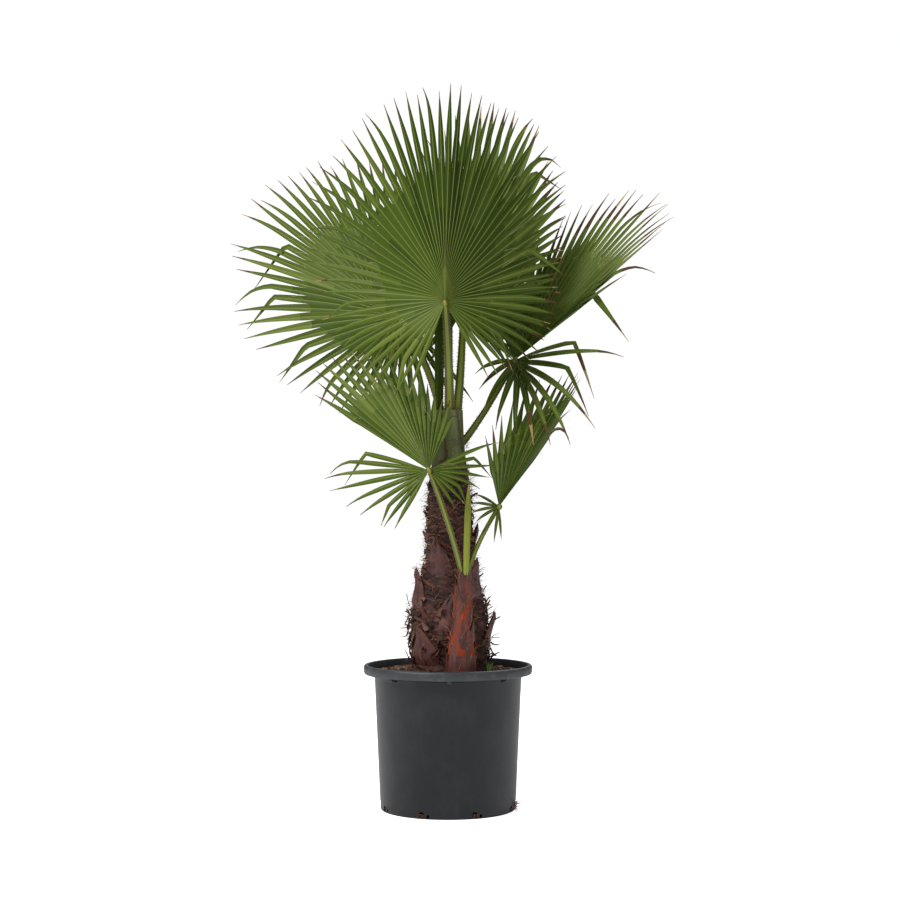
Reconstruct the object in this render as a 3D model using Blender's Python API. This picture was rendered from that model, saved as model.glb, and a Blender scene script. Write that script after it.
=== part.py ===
# California fan palm in a nursery pot. A swollen trunk in its old leaf boots stands in the substrate,
# with a side shoot at its front and fan-shaped fronds on long stalks. The front is at -Y, up is +Z,
# and the origin is the middle of the pot's flat underside. All sizes are in metres.

import bmesh
import bpy
from math import cos, exp, pi, radians, sin
from mathutils import Matrix, Vector

# Room left between pieces that touch
GAP = 0.0003
CUTTER_GROWTH = 0.00045

# Nursery pot, a 35 litre container
POT_HEIGHT = 0.3425
POT_RIM_RADIUS = 0.200
POT_RIM_DEPTH = 0.022
POT_NECK_RADIUS = 0.174
POT_NECK_DROP = 0.030
POT_FOOT_RADIUS = 0.160
POT_WALL = 0.003
POT_RIM_WALL = 0.012
POT_RIM_STEP = 0.004
POT_SIDES = 44
DRAIN_SLOTS = 8
DRAIN_SLOT_WIDTH = 0.012
DRAIN_SLOT_HEIGHT = 0.014

# Substrate in the pot, flat under the trunk and lower at the wall
SOIL_TOP = 0.330
SOIL_EDGE_DROP = 0.008
SOIL_FLAT_RADIUS = 0.135

# Trunk: radius at each height, from the cut at the substrate to the neck
TRUNK_FOOT = SOIL_TOP + GAP
TRUNK_TOP = 0.803
TRUNK_RADII = (0.088, 0.089, 0.089, 0.083, 0.067, 0.056, 0.053, 0.050, 0.049, 0.046)
TRUNK_AXIS_X = 0.003
TRUNK_SIDES = 24
TRUNK_RINGS = 15

# Old leaf boots, set round the trunk in a rising spiral
BOOT_COUNT = 10
BOOT_STEP = radians(137.5)
BOOT_START = radians(-136)
BOOT_RISE = 0.026
BOOT_LENGTH = 0.108
BOOT_HALF_ANGLE = radians(33)
BOOT_THICKNESS = 0.010
BOOT_FLARE = 0.019
BOOT_SINK = 0.006
BOOT_COLUMNS = 4
BOOT_ROWS = 4

# Green sheath of the living leaf bases above the trunk
SHEATH_TOP = 0.945
SHEATH_FOOT_RADIUS = 0.043
SHEATH_TOP_RADIUS = 0.034
SHEATH_SIDES = 24
SHEATH_SPANS = 6

# Side shoot in front of the trunk
SHOOT_FOOT = Vector((0.028, -0.121, SOIL_TOP + GAP))
SHOOT_TOP = Vector((0.037, -0.121, 0.566))
SHOOT_RADII = (0.037, 0.033, 0.027, 0.023, 0.019, 0.014)
SHOOT_SIDES = 18
SHOOT_DEPTH_SHARE = 0.85

# Fronds: segments fold in a V, their margins towards the upper side
FOLD_SLOPE = 0.38
HUB_RADIUS = 0.0115
BLADE_START = 0.0122
PATH_STEPS = 16
HEAVY_SAG = 0.5
STALK_SPANS = 8
STALK_SIDES = 10
STALK_TAPER = 0.35

# Base colours, as linear values
POT_GREY = (0.018, 0.020, 0.023)
SOIL_BROWN = (0.025, 0.016, 0.011)
BARK_BROWN = (0.045, 0.018, 0.012)
BOOT_MAROON = (0.085, 0.030, 0.024)
SHOOT_RUST = (0.22, 0.045, 0.015)
SHEATH_GREEN = (0.05, 0.085, 0.02)
LEAF_GREEN = (0.055, 0.11, 0.022)
STALK_GREEN = (0.16, 0.22, 0.03)

# Each frond has a stalk from its foot past a bend to the hub, and fans of segments round the hub.
# A fan's stations run across it at even spacing. Turn is a ray's angle from upright, clockwise seen
# from the front, and lean is its angle away from the front, both in degrees. Reach is a ray's
# length, and sag is how far it droops. Costa is how far the stalk runs on into the blade. Upper is 1
# where the upper side faces the front. A notched fan is cut back round the stalk that it runs beside.
FRONDS = {
    "front_frond": {
        "foot": (0.003, -0.019, SHEATH_TOP),
        "bend": (0.004, -0.040, 1.050),
        "hub": (-0.007, -0.130, 1.187),
        "stalk": (0.012, 0.0075),
        "thickness": 0.0050,
        "upper": -1,
        "fans": {
            "blade": {
                "costa": 0.060,
                "segments": 34,
                "joined": 0.56,
                "notched": True,
                "width": 0.012,
                "turn": (-160, -88, -37, 0, 33, 79, 150),
                "lean": (-5, 24, 4, -10, 4, 22, 4),
                "reach": (0.225, 0.335, 0.455, 0.485, 0.450, 0.300, 0.195),
                "sag": (0.25, 0.12, 0.05, 0.03, 0.05, 0.12, 0.30),
            },
        },
    },
    "left_frond": {
        "foot": (-0.018, 0.017, SHEATH_TOP),
        "bend": (-0.040, 0.060, 1.040),
        "hub": (-0.107, 0.120, 1.170),
        "stalk": (0.010, 0.007),
        "thickness": 0.0050,
        "upper": 1,
        "fans": {
            "blade": {
                "costa": 0.050,
                "segments": 32,
                "joined": 0.52,
                "notched": True,
                "width": 0.012,
                "turn": (-228, -142, -84, -48, -14, 30, 75),
                "lean": (4, 10, 17, 18, 14, 14, 18),
                "reach": (0.265, 0.290, 0.455, 0.525, 0.445, 0.350, 0.235),
                "sag": (0.20, 0.20, 0.15, 0.08, 0.06, 0.05, 0.05),
            },
        },
    },
    "back_right_frond": {
        "foot": (0.022, 0.002, SHEATH_TOP),
        "bend": (0.034, 0.004, 1.070),
        "hub": (0.036, 0.020, 1.187),
        "stalk": (0.011, 0.007),
        "thickness": 0.0050,
        "upper": 1,
        "fans": {
            "blade": {
                "costa": 0.050,
                "segments": 30,
                "joined": 0.60,
                "notched": True,
                "width": 0.012,
                "turn": (-150, -68, -22, 13, 38, 72, 140),
                "lean": (8, 8, 9, 12, 12, 12, 12),
                "reach": (0.155, 0.255, 0.395, 0.540, 0.400, 0.255, 0.185),
                "sag": (0.20, 0.10, 0.05, 0.02, 0.04, 0.15, 0.40),
            },
        },
    },
    "right_frond": {
        "foot": (0.030, 0.006, 0.862),
        "bend": (0.085, 0.030, 0.930),
        "hub": (0.163, 0.100, 1.071),
        "stalk": (0.009, 0.006),
        "thickness": 0.0054,
        "upper": 1,
        "fans": {
            "blade": {
                "costa": 0.050,
                "segments": 18,
                "joined": 0.60,
                "notched": False,
                "width": 0.010,
                "turn": (-25, 10, 23, 34, 42, 47, 51),
                "lean": (35, 25, 14, 8, 2, -6, -14),
                "reach": (0.265, 0.375, 0.450, 0.520, 0.545, 0.490, 0.320),
                "sag": (0.10, 0.05, 0.02, 0.02, 0.04, 0.06, 0.10),
            },
            "skirt": {
                "costa": 0.050,
                "segments": 9,
                "joined": 0.10,
                "notched": True,
                "width": 0.010,
                "turn": (66, 86, 125, 160, 195, 235, 272),
                "lean": (-15, -25, -45, -45, -40, -50, -55),
                "reach": (0.320, 0.270, 0.315, 0.275, 0.240, 0.190, 0.180),
                "sag": (0.50, 0.35, 1.00, 0.80, 0.50, 0.60, 0.30),
            },
        },
    },
    "back_frond": {
        "foot": (0.002, 0.032, 0.885),
        "bend": (0.004, 0.205, 0.945),
        "hub": (0.005, 0.240, 1.185),
        "stalk": (0.010, 0.007),
        "thickness": 0.0046,
        "upper": 1,
        "fans": {
            "blade": {
                "costa": 0.050,
                "segments": 26,
                "joined": 0.56,
                "notched": False,
                "width": 0.012,
                "turn": (-118, -76, -36, 0, 36, 76, 118),
                "lean": (30, 40, 48, 52, 48, 40, 30),
                "reach": (0.200, 0.290, 0.400, 0.440, 0.400, 0.290, 0.200),
                "sag": (0.20, 0.15, 0.12, 0.10, 0.12, 0.15, 0.20),
            },
        },
    },
    "shoot_left_frond": {
        "foot": (0.033, -0.121, 0.560),
        "bend": (0.004, -0.150, 0.680),
        "hub": (-0.043, -0.200, 0.801),
        "stalk": (0.0065, 0.005),
        "thickness": 0.0040,
        "upper": 1,
        "fans": {
            "blade": {
                "costa": 0.030,
                "segments": 16,
                "joined": 0.60,
                "notched": False,
                "width": 0.009,
                "turn": (-57, -44, -30, -14, 4, 24),
                "lean": (18, 24, 28, 30, 32, 32),
                "reach": (0.325, 0.395, 0.380, 0.310, 0.225, 0.190),
                "sag": (0.05, 0.04, 0.04, 0.05, 0.08, 0.15),
            },
            "left_skirt": {
                "costa": 0.0,
                "segments": 7,
                "joined": 0.16,
                "notched": False,
                "width": 0.010,
                "turn": (-70, -95, -125, -152),
                "lean": (8, 4, -4, -12),
                "reach": (0.245, 0.235, 0.180, 0.155),
                "sag": (0.10, 0.10, 0.15, 0.20),
            },
            "right_skirt": {
                "costa": 0.0,
                "segments": 6,
                "joined": 0.16,
                "notched": True,
                "width": 0.008,
                "turn": (60, 85, 115, 150),
                "lean": (15, 8, -2, -14),
                "reach": (0.190, 0.150, 0.120, 0.110),
                "sag": (0.10, 0.15, 0.20, 0.20),
            },
        },
    },
    "shoot_right_frond": {
        "foot": (0.045, -0.119, 0.560),
        "bend": (0.062, -0.116, 0.630),
        "hub": (0.118, -0.120, 0.717),
        "stalk": (0.0055, 0.0045),
        "thickness": 0.0048,
        "upper": 1,
        "fans": {
            "blade": {
                "costa": 0.030,
                "segments": 17,
                "joined": 0.62,
                "notched": False,
                "width": 0.008,
                "turn": (-13, 6, 22, 31, 34, 36, 38),
                "lean": (22, 28, 32, 34, 40, 48, 58),
                "reach": (0.175, 0.275, 0.405, 0.455, 0.490, 0.475, 0.415),
                "sag": (0.05, 0.03, 0.03, 0.02, 0.02, 0.03, 0.05),
            },
            "skirt": {
                "costa": 0.0,
                "segments": 6,
                "joined": 0.16,
                "notched": True,
                "width": 0.006,
                "turn": (-46, -80, -115, -165, -190),
                "lean": (-20, -35, -40, -35, -25),
                "reach": (0.070, 0.085, 0.085, 0.100, 0.080),
                "sag": (0.30, 0.30, 0.30, 0.20, 0.20),
            },
        },
    },
}

# Leaves that have no blade: the closed spear in the crown's middle, and the shoot's cut stalk
SPEAR_FOOT = (-0.022, -0.003, SHEATH_TOP)
SPEAR_BEND = (-0.021, -0.020, 1.150)
SPEAR_TIP = (-0.012, -0.045, 1.500)
SPEAR_WIDTHS = (0.010, 0.011, 0.012, 0.009, 0.002)
CUT_STALK_FOOT = (0.0415, -0.131, 0.560)
CUT_STALK_BEND = (0.0430, -0.136, 0.660)
CUT_STALK_TIP = (0.0480, -0.140, 0.768)
CUT_STALK_WIDTHS = (0.0070, 0.0078, 0.0076, 0.0070, 0.0015)


def remove_scene_objects():
    for item in list(bpy.data.objects):
        bpy.data.objects.remove(item, do_unlink=True)


def make_material(name, colour, roughness):
    material = bpy.data.materials.new(name)
    material.use_nodes = True
    shader = material.node_tree.nodes["Principled BSDF"]
    shader.inputs["Base Color"].default_value = (*colour, 1.0)
    shader.inputs["Roughness"].default_value = roughness
    shader.inputs["Metallic"].default_value = 0.0
    return material


def add_object(name, mesh, material):
    item = bpy.data.objects.new(name, mesh)
    bpy.context.scene.collection.objects.link(item)
    mesh.materials.append(material)
    return item


def mesh_from(name, bm):
    mesh = bpy.data.meshes.new(name)
    bm.to_mesh(mesh)
    bm.free()
    return mesh


def between(stations, across):
    """Smooth value of evenly spaced stations at a place from -1 to 1."""
    spans = len(stations) - 1
    place = (across + 1) / 2 * spans
    index = min(max(int(place), 0), spans - 1)
    part = place - index
    here, after = stations[index], stations[index + 1]
    before = stations[index - 1] if index > 0 else 2 * here - after
    beyond = stations[index + 2] if index + 2 <= spans else 2 * after - here
    linear = after - before
    square = 2 * before - 5 * here + 4 * after - beyond
    cube = 3 * here - before - 3 * after + beyond
    return 0.5 * (2 * here + linear * part + square * part**2 + cube * part**3)


def curve_point(foot, bend, tip, part):
    """Point on the quadratic curve from foot past bend to tip."""
    foot, bend, tip = Vector(foot), Vector(bend), Vector(tip)
    return foot * (1 - part) ** 2 + bend * 2 * part * (1 - part) + tip * part**2


def subtract(item, cutter):
    """Cut item by cutter grown by the clearance; the cutter's own object stays as it is."""
    grown = bpy.data.objects.new(item.name + "_cutter", cutter.data)
    bpy.context.scene.collection.objects.link(grown)
    growth = grown.modifiers.new("clearance", "DISPLACE")
    growth.strength = CUTTER_GROWTH
    growth.mid_level = 0.0
    grown.display_type = "WIRE"
    grown.hide_render = True
    cut = item.modifiers.new("cut", "BOOLEAN")
    cut.operation = "DIFFERENCE"
    cut.object = grown


def turned(name, profile, sides, material):
    """Solid of revolution about Z; the profile runs from the axis over the top and down outside."""
    bm = bmesh.new()
    points = [bm.verts.new((radius, 0.0, height)) for radius, height in profile]
    for first, second in zip(points, points[1:]):
        bm.edges.new((first, second))
    item = add_object(name, mesh_from(name, bm), material)
    screw = item.modifiers.new("turn", "SCREW")
    screw.steps = sides
    screw.render_steps = sides
    screw.use_merge_vertices = True
    screw.merge_threshold = 0.0001
    return item


def loft(name, rings, sides, material):
    """Closed solid through elliptical rings; each ring is (centre, axis, width, depth)."""
    bm = bmesh.new()
    loops = []
    for centre, axis, width, depth in rings:
        across = Vector((1, 0, 0)) - axis * axis.x
        across.normalize()
        facing = Matrix((across, axis.cross(across), axis)).transposed().to_4x4()
        place = Matrix.Translation(centre) @ facing @ Matrix.Diagonal((width, depth, 1, 1))
        circle = bmesh.ops.create_circle(bm, segments=sides, radius=1.0, matrix=place)
        loops.append(circle["verts"])
    for lower, upper in zip(loops, loops[1:]):
        for index in range(sides):
            following = (index + 1) % sides
            bm.faces.new((lower[index], lower[following], upper[following], upper[index]))
    bm.faces.new(list(reversed(loops[0])))
    bm.faces.new(loops[-1])
    bmesh.ops.recalc_face_normals(bm, faces=bm.faces)
    return add_object(name, mesh_from(name, bm), material)


def make_pot(material):
    neck = POT_HEIGHT - POT_NECK_DROP
    rim_foot = POT_HEIGHT - POT_RIM_DEPTH
    profile = (
        (0.0, POT_WALL),
        (POT_FOOT_RADIUS - POT_WALL, POT_WALL),
        (POT_NECK_RADIUS - POT_WALL, neck),
        (POT_RIM_RADIUS - POT_RIM_WALL, rim_foot + POT_RIM_STEP),
        (POT_RIM_RADIUS - 0.011, POT_HEIGHT - 0.002),
        (POT_RIM_RADIUS - 0.008, POT_HEIGHT),
        (POT_RIM_RADIUS - 0.002, POT_HEIGHT - 0.001),
        (POT_RIM_RADIUS, POT_HEIGHT - 0.005),
        (POT_RIM_RADIUS - 0.001, rim_foot + 0.002),
        (POT_RIM_RADIUS - 0.004, rim_foot),
        (POT_NECK_RADIUS + 0.006, rim_foot - 0.001),
        (POT_NECK_RADIUS, neck),
        (POT_FOOT_RADIUS, 0.004),
        (POT_FOOT_RADIUS - 0.003, 0.0),
        (0.0, 0.0),
    )
    pot = turned("pot", profile, POT_SIDES, material)
    bm = bmesh.new()
    for index in range(DRAIN_SLOTS):
        turn = Matrix.Rotation(2 * pi * (index + 0.5) / DRAIN_SLOTS, 4, "Z")
        shift = Matrix.Translation((POT_FOOT_RADIUS, 0.0, DRAIN_SLOT_HEIGHT / 2 + 0.001))
        size = Matrix.Diagonal((0.020, DRAIN_SLOT_WIDTH, DRAIN_SLOT_HEIGHT, 1))
        bmesh.ops.create_cube(bm, size=1.0, matrix=turn @ shift @ size)
    slots = add_object("pot_drain_slots", mesh_from("pot_drain_slots", bm), material)
    slots.display_type = "WIRE"
    slots.hide_render = True
    cut = pot.modifiers.new("drain slots", "BOOLEAN")
    cut.operation = "DIFFERENCE"
    cut.object = slots
    return pot


def make_soil(material):
    edge = SOIL_TOP - SOIL_EDGE_DROP
    neck = POT_HEIGHT - POT_NECK_DROP
    flare = POT_RIM_RADIUS - POT_RIM_WALL - POT_NECK_RADIUS + POT_WALL
    slope = flare / (POT_NECK_DROP - POT_RIM_DEPTH + POT_RIM_STEP)
    edge_radius = POT_NECK_RADIUS - POT_WALL + (edge - neck) * slope - 3 * GAP
    profile = (
        (0.0, SOIL_TOP),
        (SOIL_FLAT_RADIUS, SOIL_TOP),
        (SOIL_FLAT_RADIUS + 0.020, SOIL_TOP - 0.003),
        (edge_radius, edge),
        (POT_NECK_RADIUS - POT_WALL - 2 * GAP, neck),
        (POT_FOOT_RADIUS - POT_WALL - 2 * GAP, POT_WALL + GAP),
        (0.0, POT_WALL + GAP),
    )
    return turned("soil", profile, POT_SIDES, material)


def trunk_radius(height):
    return between(TRUNK_RADII, 2 * (height - TRUNK_FOOT) / (TRUNK_TOP - TRUNK_FOOT) - 1)


def trunk_centre(height):
    return Vector((TRUNK_AXIS_X, 0.0, height))


def make_trunk(material):
    up = Vector((0, 0, 1))
    rings = []
    for index in range(TRUNK_RINGS):
        height = TRUNK_FOOT + (TRUNK_TOP - TRUNK_FOOT) * index / (TRUNK_RINGS - 1)
        radius = trunk_radius(height)
        rings.append((trunk_centre(height), up, radius, radius))
    return loft("trunk", rings, TRUNK_SIDES, material)


def make_boot(index, trunk, shoot, material):
    """A shield-shaped scale: wide and sunk at its foot, pointed and flared at its tip."""
    azimuth = BOOT_START + BOOT_STEP * index
    foot = TRUNK_FOOT + 0.004 + BOOT_RISE * index
    columns, rows = BOOT_COLUMNS, BOOT_ROWS
    bm = bmesh.new()
    outer, inner = [], []
    for row in range(rows + 1):
        part = row / rows
        height = foot + BOOT_LENGTH * part
        half_angle = BOOT_HALF_ANGLE * (1 - part**2.2) + radians(2)
        flare = BOOT_FLARE * part**2.5
        thickness = BOOT_THICKNESS * (1 - 0.75 * part)
        for column in range(columns + 1):
            side = 2 * column / columns - 1
            angle = azimuth + half_angle * side
            base = trunk_radius(height) - BOOT_SINK * (1 - part) + flare
            crown = thickness * (1 - 0.7 * side**2) + BOOT_SINK * (1 - part)
            out = Vector((cos(angle), sin(angle), 0))
            inner.append(bm.verts.new(trunk_centre(height) + out * base))
            outer.append(bm.verts.new(trunk_centre(height) + out * (base + crown)))
    width = columns + 1
    for row in range(rows):
        for column in range(columns):
            a = row * width + column
            for sheet, turned_round in ((outer, False), (inner, True)):
                corners = [sheet[a], sheet[a + 1], sheet[a + 1 + width], sheet[a + width]]
                bm.faces.new(reversed(corners) if turned_round else corners)
    border = list(range(width)) + [row * width + columns for row in range(1, rows + 1)]
    border += [rows * width + column for column in range(columns - 1, -1, -1)]
    border += [row * width for row in range(rows - 1, 0, -1)]
    for first, second in zip(border, border[1:] + border[:1]):
        bm.faces.new((inner[first], inner[second], outer[second], outer[first]))
    bmesh.ops.recalc_face_normals(bm, faces=bm.faces)
    name = "boot_{}".format(index + 1)
    boot = add_object(name, mesh_from(name, bm), material)
    subtract(boot, trunk)
    subtract(boot, shoot)
    return boot


def make_sheath(material):
    up = Vector((0, 0, 1))
    rings = []
    foot = TRUNK_TOP + GAP
    for index in range(SHEATH_SPANS + 1):
        part = index / SHEATH_SPANS
        spread = exp(-3.0 * part)
        radius = SHEATH_TOP_RADIUS + (SHEATH_FOOT_RADIUS - SHEATH_TOP_RADIUS) * spread
        centre = Vector((TRUNK_AXIS_X * (1 - part), 0, foot + (SHEATH_TOP - foot) * part))
        rings.append((centre, up, radius, radius))
    return loft("crown_sheath", rings, SHEATH_SIDES, material)


def make_shoot(trunk, material):
    rings = []
    count = len(SHOOT_RADII)
    axis = (SHOOT_TOP - SHOOT_FOOT).normalized()
    for index, radius in enumerate(SHOOT_RADII):
        centre = SHOOT_FOOT.lerp(SHOOT_TOP, index / (count - 1))
        upright = Vector((0, 0, 1)) if index == 0 else axis
        rings.append((centre, upright, radius, radius * SHOOT_DEPTH_SHARE))
    shoot = loft("side_shoot", rings, SHOOT_SIDES, material)
    subtract(shoot, trunk)
    return shoot


def make_stalk(name, frond, carrier, material):
    """A stalk that ends in the round knob that its blade grows from."""
    width, depth = frond["stalk"]
    foot, bend, hub = frond["foot"], frond["bend"], frond["hub"]
    rings = []
    for index in range(STALK_SPANS):
        part = index / STALK_SPANS
        centre = curve_point(foot, bend, hub, part)
        ahead = curve_point(foot, bend, hub, part + 0.02)
        axis = (ahead - centre).normalized()
        taper = 1 - STALK_TAPER * part
        rings.append((centre, axis, width * taper, depth * taper))
    end = (Vector(hub) - Vector(bend)).normalized()
    for angle in (-50, -20, 10, 40, 70):
        lift = HUB_RADIUS * sin(radians(angle))
        radius = HUB_RADIUS * cos(radians(angle))
        rings.append((Vector(hub) + end * lift, end, radius, radius))
    stalk = loft(name + "_stalk", rings, STALK_SIDES, material)
    subtract(stalk, carrier)
    return stalk


def make_leafless(name, foot, bend, tip, widths, depth_share, carrier, material):
    """A stalk or a closed leaf that narrows to a point."""
    rings = []
    last = len(widths) - 1
    for index, width in enumerate(widths):
        part = index / last
        centre = curve_point(foot, bend, tip, part)
        behind = curve_point(foot, bend, tip, part - 0.02)
        axis = (centre - behind).normalized()
        rings.append((centre, axis, width, width * depth_share))
    item = loft(name, rings, STALK_SIDES, material)
    subtract(item, carrier)
    return item


def ray_direction(fan, across):
    turn = radians(between(fan["turn"], across))
    lean = radians(between(fan["lean"], across))
    return Vector((sin(turn) * cos(lean), sin(lean), cos(turn) * cos(lean)))


def ray_points(frond, fan, across, rows):
    """Points along one ray of a fan, at each of the given parts of its length."""
    hub = Vector(frond["hub"])
    heading = ray_direction(fan, across)
    shift = fan["costa"] * (1 - abs(across)) ** 2
    middle = ray_direction(fan, 0.0)
    sag = between(fan["sag"], across)
    length = between(fan["reach"], across) - shift - BLADE_START
    step = length / PATH_STEPS
    point = hub + middle * shift + heading * BLADE_START
    path = [point]
    for index in range(PATH_STEPS):
        fall = sag * ((index + 0.5) / PATH_STEPS) ** 1.5
        point = point + (heading - Vector((0, 0, fall))).normalized() * step
        path.append(point)
    points = []
    for part in rows:
        place = part * PATH_STEPS
        index = min(int(place), PATH_STEPS - 1)
        points.append(path[index].lerp(path[index + 1], place - index))
    points[0] = hub + heading * BLADE_START
    return points


def make_fan(name, frond, fan, stalk, material):
    """Pleated sheet of segments, joined near the hub and free towards their tips."""
    segments = fan["segments"]
    joined = fan["joined"]
    free = 1 - joined
    rows = [0.0, joined / 2, joined, joined + 0.5 * free, 1.0]
    if max(fan["sag"]) > HEAVY_SAG:
        rows = [0.0, joined, joined + 0.2 * free, joined + 0.4 * free, joined + 0.7 * free, 1.0]
    split = rows.index(joined)
    step = 1 / segments
    bm = bmesh.new()
    sheet = []
    for line in range(2 * segments + 1):
        across = -1 + line * step
        points = ray_points(frond, fan, across, rows)
        before = ray_points(frond, fan, across - step, rows)
        after = ray_points(frond, fan, across + step, rows)
        heights = -1 if line % 2 else 1
        lifted = []
        for row in range(split + 1):
            side = after[row] - before[row]
            along = points[row + 1] - points[row]
            normal = side.cross(along).normalized() * frond["upper"]
            rise = 0.25 * FOLD_SLOPE * side.length * heights if row else 0.0
            lifted.append(bm.verts.new(points[row] + normal * rise))
        sheet.append(lifted)
    for line in range(2 * segments):
        for row in range(split):
            left, right = sheet[line], sheet[line + 1]
            bm.faces.new((left[row], left[row + 1], right[row + 1], right[row]))
    for segment in range(segments):
        across = -1 + (2 * segment + 1) * step
        points = ray_points(frond, fan, across, rows)
        before = ray_points(frond, fan, across - step, rows)
        after = ray_points(frond, fan, across + step, rows)
        half_pitch = (after[split] - before[split]).length / 2
        left, middle, right = (sheet[2 * segment + k][split] for k in range(3))
        for row in range(split + 1, len(rows)):
            part = (rows[row] - joined) / free
            if row == len(rows) - 1:
                tip = bm.verts.new(points[row])
                bm.faces.new((left, tip, middle))
                bm.faces.new((middle, tip, right))
                break
            side = (after[row] - before[row]).normalized()
            along = (points[row + 1] - points[row - 1]).normalized()
            side = (side - along * side.dot(along)).normalized()
            normal = side.cross(along) * frond["upper"]
            rest = 1 - part
            bulge = 3 * fan["width"] * rest**2 * part + 1.8 * fan["width"] * rest * part**2
            width = half_pitch * rest**3 + bulge
            rise = FOLD_SLOPE * width / 2
            next_left = bm.verts.new(points[row] - side * width + normal * rise)
            next_middle = bm.verts.new(points[row] - normal * rise)
            next_right = bm.verts.new(points[row] + side * width + normal * rise)
            bm.faces.new((left, next_left, next_middle, middle))
            bm.faces.new((middle, next_middle, next_right, right))
            left, middle, right = next_left, next_middle, next_right
    blade = add_object(name, mesh_from(name, bm), material)
    sheet_wall = blade.modifiers.new("thickness", "SOLIDIFY")
    sheet_wall.thickness = frond["thickness"]
    sheet_wall.offset = 0.0
    if fan["notched"]:
        subtract(blade, stalk)
    return blade


def main():
    remove_scene_objects()
    pot_plastic = make_material("pot plastic", POT_GREY, 0.45)
    substrate = make_material("substrate", SOIL_BROWN, 0.95)
    bark = make_material("trunk fibre", BARK_BROWN, 0.90)
    boot_skin = make_material("boot skin", BOOT_MAROON, 0.70)
    shoot_skin = make_material("shoot skin", SHOOT_RUST, 0.60)
    sheath_green = make_material("sheath green", SHEATH_GREEN, 0.55)
    stalk_green = make_material("stalk green", STALK_GREEN, 0.45)
    leaf_green = make_material("leaf green", LEAF_GREEN, 0.50)

    make_pot(pot_plastic)
    make_soil(substrate)
    trunk = make_trunk(bark)
    shoot = make_shoot(trunk, shoot_skin)
    for index in range(BOOT_COUNT):
        make_boot(index, trunk, shoot, boot_skin)
    sheath = make_sheath(sheath_green)
    for name, frond in FRONDS.items():
        carrier = shoot if name.startswith("shoot") else sheath
        stalk = make_stalk(name, frond, carrier, stalk_green)
        for fan_name, fan in frond["fans"].items():
            make_fan("{}_{}".format(name, fan_name), frond, fan, stalk, leaf_green)
    make_leafless("spear_leaf", SPEAR_FOOT, SPEAR_BEND, SPEAR_TIP, SPEAR_WIDTHS, 0.85, sheath, leaf_green)
    make_leafless(
        "cut_stalk", CUT_STALK_FOOT, CUT_STALK_BEND, CUT_STALK_TIP, CUT_STALK_WIDTHS, 0.6, shoot, stalk_green
    )


main()
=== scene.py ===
import bmesh
import bpy
import random
from math import cos, exp, pi, radians, sin
from mathutils import Matrix, Vector, noise


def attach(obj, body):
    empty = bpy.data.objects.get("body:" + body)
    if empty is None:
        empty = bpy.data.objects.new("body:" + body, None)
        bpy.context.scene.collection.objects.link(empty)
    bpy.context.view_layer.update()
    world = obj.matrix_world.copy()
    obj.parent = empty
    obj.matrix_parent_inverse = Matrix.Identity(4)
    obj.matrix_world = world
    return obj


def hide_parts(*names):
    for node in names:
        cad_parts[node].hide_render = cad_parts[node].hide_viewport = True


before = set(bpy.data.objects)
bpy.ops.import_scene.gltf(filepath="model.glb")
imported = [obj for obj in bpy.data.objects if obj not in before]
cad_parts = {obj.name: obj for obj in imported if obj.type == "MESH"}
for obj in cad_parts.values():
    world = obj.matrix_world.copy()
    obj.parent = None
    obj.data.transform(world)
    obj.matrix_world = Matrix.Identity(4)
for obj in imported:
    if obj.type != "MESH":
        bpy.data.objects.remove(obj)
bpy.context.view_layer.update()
chance = random.Random(31)

# Studio. A level camera stands in front of the pot on a white floor. The daylight is soft and comes
# from all round, with one large lamp high on the left, a weak one on the right and one behind. The
# camera sees floor and sky brighter than they shine, so that the backdrop stays white.
camera_data = bpy.data.cameras.new("camera")
camera_data.lens = 75.0
camera_data.sensor_width = 36.0
camera_data.shift_x = 0.0022
camera_data.shift_y = 0.04
camera = bpy.data.objects.new("camera", camera_data)
camera.location = (0.0, -4.45, 0.765)
camera.rotation_euler = (radians(90), 0.0, 0.0)
bpy.context.scene.collection.objects.link(camera)
bpy.context.scene.camera = camera

bpy.ops.mesh.primitive_plane_add(size=80.0, location=(0.0, 0.0, 0.0))
floor = bpy.context.object
floor.name = "floor"
floor_paint = bpy.data.materials.new("floor_paint")
floor_paint.use_nodes = True
floor_shader = floor_paint.node_tree.nodes["Principled BSDF"]
floor_shader.inputs["Base Color"].default_value = (0.93, 0.93, 0.93, 1.0)
floor_shader.inputs["Roughness"].default_value = 0.9
floor_shader.inputs["Emission Color"].default_value = (1.0, 1.0, 1.0, 1.0)
floor_seen = floor_paint.node_tree.nodes.new("ShaderNodeLightPath")
floor_glow = floor_paint.node_tree.nodes.new("ShaderNodeMapRange")
floor_glow.inputs["To Min"].default_value = 0.24
floor_glow.inputs["To Max"].default_value = 0.80
floor_paint.node_tree.links.new(floor_seen.outputs["Is Camera Ray"], floor_glow.inputs["Value"])
floor_paint.node_tree.links.new(floor_glow.outputs["Result"], floor_shader.inputs["Emission Strength"])
floor.data.materials.append(floor_paint)

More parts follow.
